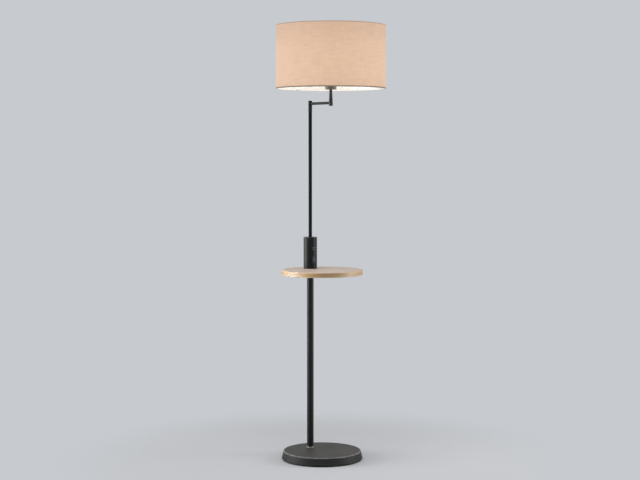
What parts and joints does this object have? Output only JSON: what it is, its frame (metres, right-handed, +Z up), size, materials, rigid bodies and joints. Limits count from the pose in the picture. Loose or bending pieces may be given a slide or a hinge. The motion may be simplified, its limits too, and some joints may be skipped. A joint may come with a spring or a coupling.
{
  "type": "floor lamp with table",
  "caption": "Floor lamp with a round foot, a round wooden side table, a housing with USB port and rocker switch, and a drum shade on a swinging arm.",
  "frame": {"origin": "centre of the foot's underside, on the floor", "axes": "+Z up; -Y to the lamp's front, where the switch and the USB port look; the pole stands on the +Y side"},
  "size_m": [0.4, 0.401, 1.6],
  "materials": {
    "black_coat": "satin black powder coat",
    "zinc_steel": "zinc-plated steel",
    "ballast": "cast concrete",
    "foot_foam": "closed-cell foam",
    "black_plastic": "fine moulded grain",
    "gloss_black_plastic": "polished",
    "white_plastic": "moulded",
    "contact_metal": "plated brass",
    "bulb_metal": "bright aluminium",
    "circuit_board": "green solder resist",
    "ferrite": "sintered ferrite",
    "oak_top": "light oak veneer, satin lacquer",
    "oak_edge": "light oak edging, satin lacquer",
    "shade_weave": "beige woven linen look",
    "shade_white": "white shade film",
    "white_coat": "white powder coat",
    "opal_glass": "opal, lit from inside"
  },
  "bodies": {
    "stand": {"foot_pad": "foot_foam", "foot_weight": "ballast", "foot_cover": "black_coat", "cable_bush": "black_plastic", "foot_washer": "zinc_steel", "foot_nut": "zinc_steel", "foot_rod": "zinc_steel", "pole_collar": "black_coat", "lower_pole": "black_coat", "lower_plug": "zinc_steel", "upper_plug": "zinc_steel", "table_rod": "zinc_steel", "table_board": "oak_top", "table_edge": "oak_edge", "housing_floor": "zinc_steel", "housing_nut": "zinc_steel", "housing_shell": "black_coat", "housing_screw": "zinc_steel", "housing_cap": "black_coat", "pole_grub": "zinc_steel", "switch_body": "black_plastic", "switch_blade_low": "contact_metal", "switch_blade_high": "contact_metal", "usb_plate": "black_plastic", "usb_shell": "zinc_steel", "usb_tongue": "black_plastic", "usb_contact_1": "contact_metal", "usb_contact_2": "contact_metal", "usb_contact_3": "contact_metal", "usb_contact_4": "contact_metal", "usb_board": "circuit_board", "usb_transformer": "ferrite", "usb_capacitor": "bulb_metal", "terminal_block": "white_plastic", "upper_pole": "black_coat", "swivel_spindle": "zinc_steel", "swivel_washer": "black_plastic", "swivel_ring": "zinc_steel", "stop_pin": "zinc_steel"},
    "swing_arm": {"swivel_sleeve": "black_coat", "sleeve_cap": "black_coat", "stop_screw": "zinc_steel", "arm_tube": "black_coat", "stem": "black_coat", "stem_rod": "zinc_steel", "stem_nut": "zinc_steel", "holder_cup": "black_coat", "holder_body": "black_plastic", "holder_shell": "contact_metal", "holder_contact": "contact_metal", "shade_ring": "black_plastic", "shade_frame": "white_coat", "shade_top_ring": "white_coat", "shade_liner": "shade_white", "shade_cover": "shade_weave", "bulb_globe": "opal_glass", "bulb_body": "white_plastic", "bulb_cap": "bulb_metal", "bulb_tip": "contact_metal"},
    "rocker": {"switch_rocker": "gloss_black_plastic"}
  },
  "joints": [
    {"name": "arm_swing", "type": "hinge", "parent": "stand", "child": "swing_arm", "pos_m": [0, 0.07, 1.289], "axis": [0, 0, 1], "range_deg": [-155, 155]},
    {"name": "switch_rock", "type": "hinge", "parent": "stand", "child": "rocker", "pos_m": [0, 0.0462, 0.737], "axis": [1, 0, 0], "range_deg": [0, 16]}
  ]
}
